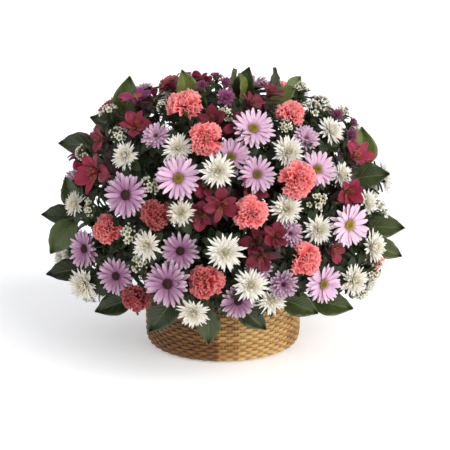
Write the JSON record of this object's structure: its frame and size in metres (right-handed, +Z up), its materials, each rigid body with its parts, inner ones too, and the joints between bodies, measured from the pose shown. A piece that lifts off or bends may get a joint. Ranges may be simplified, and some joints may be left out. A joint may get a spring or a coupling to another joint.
{
  "type": "flower basket arrangement",
  "caption": "Round wicker basket filled with a domed arrangement of carnations, daisies, chrysanthemums, alstroemeria, waxflower and salal leaves.",
  "frame": {"origin": "centre of the basket's flat underside, on the floor", "axes": "+Z up along the basket's axis, -Y towards the front of the arrangement, +X to the right seen from the front"},
  "size_m": [0.5333, 0.4717, 0.4238],
  "materials": {
    "wicker": "satin",
    "liner": "matte",
    "foam": "matte",
    "carnation": "matte",
    "daisy": "matte",
    "white_mum": "matte",
    "alstroemeria": "satin",
    "button_mum": "matte",
    "waxflower": "matte",
    "salal": "satin"
  },
  "bodies": {
    "root": {"alstroemeria_stem_1": "alstroemeria", "alstroemeria_stem_2": "alstroemeria", "alstroemeria_stem_3": "alstroemeria", "alstroemeria_stem_4": "alstroemeria", "alstroemeria_stem_5": "alstroemeria", "alstroemeria_stem_6": "alstroemeria", "alstroemeria_stem_7": "alstroemeria", "basket_body": "wicker", "basket_border": "wicker", "button_mum_spray_1": "button_mum", "button_mum_spray_2": "button_mum", "carnation_spray_1": "carnation", "carnation_spray_2": "carnation", "carnation_spray_3": "carnation", "carnation_spray_4": "carnation", "carnation_spray_5": "carnation", "carnation_spray_6": "carnation", "carnation_spray_7": "carnation", "daisy_spray_1": "daisy", "daisy_spray_10": "daisy", "daisy_spray_2": "daisy", "daisy_spray_3": "daisy", "daisy_spray_4": "daisy", "daisy_spray_5": "daisy", "daisy_spray_6": "daisy", "daisy_spray_7": "daisy", "daisy_spray_8": "daisy", "daisy_spray_9": "daisy", "flower_foam": "foam", "liner": "liner", "salal_stem_1": "salal", "salal_stem_10": "salal", "salal_stem_2": "salal", "salal_stem_3": "salal", "salal_stem_4": "salal", "salal_stem_5": "salal", "salal_stem_6": "salal", "salal_stem_7": "salal", "salal_stem_8": "salal", "salal_stem_9": "salal", "waxflower_spray_1": "waxflower", "waxflower_spray_2": "waxflower", "waxflower_spray_3": "waxflower", "waxflower_spray_4": "waxflower", "waxflower_spray_5": "waxflower", "waxflower_spray_6": "waxflower", "waxflower_spray_7": "waxflower", "waxflower_spray_8": "waxflower", "white_mum_spray_1": "white_mum", "white_mum_spray_10": "white_mum", "white_mum_spray_11": "white_mum", "white_mum_spray_12": "white_mum", "white_mum_spray_2": "white_mum", "white_mum_spray_3": "white_mum", "white_mum_spray_4": "white_mum", "white_mum_spray_5": "white_mum", "white_mum_spray_6": "white_mum", "white_mum_spray_7": "white_mum", "white_mum_spray_8": "white_mum", "white_mum_spray_9": "white_mum"}
  },
  "joints": []
}
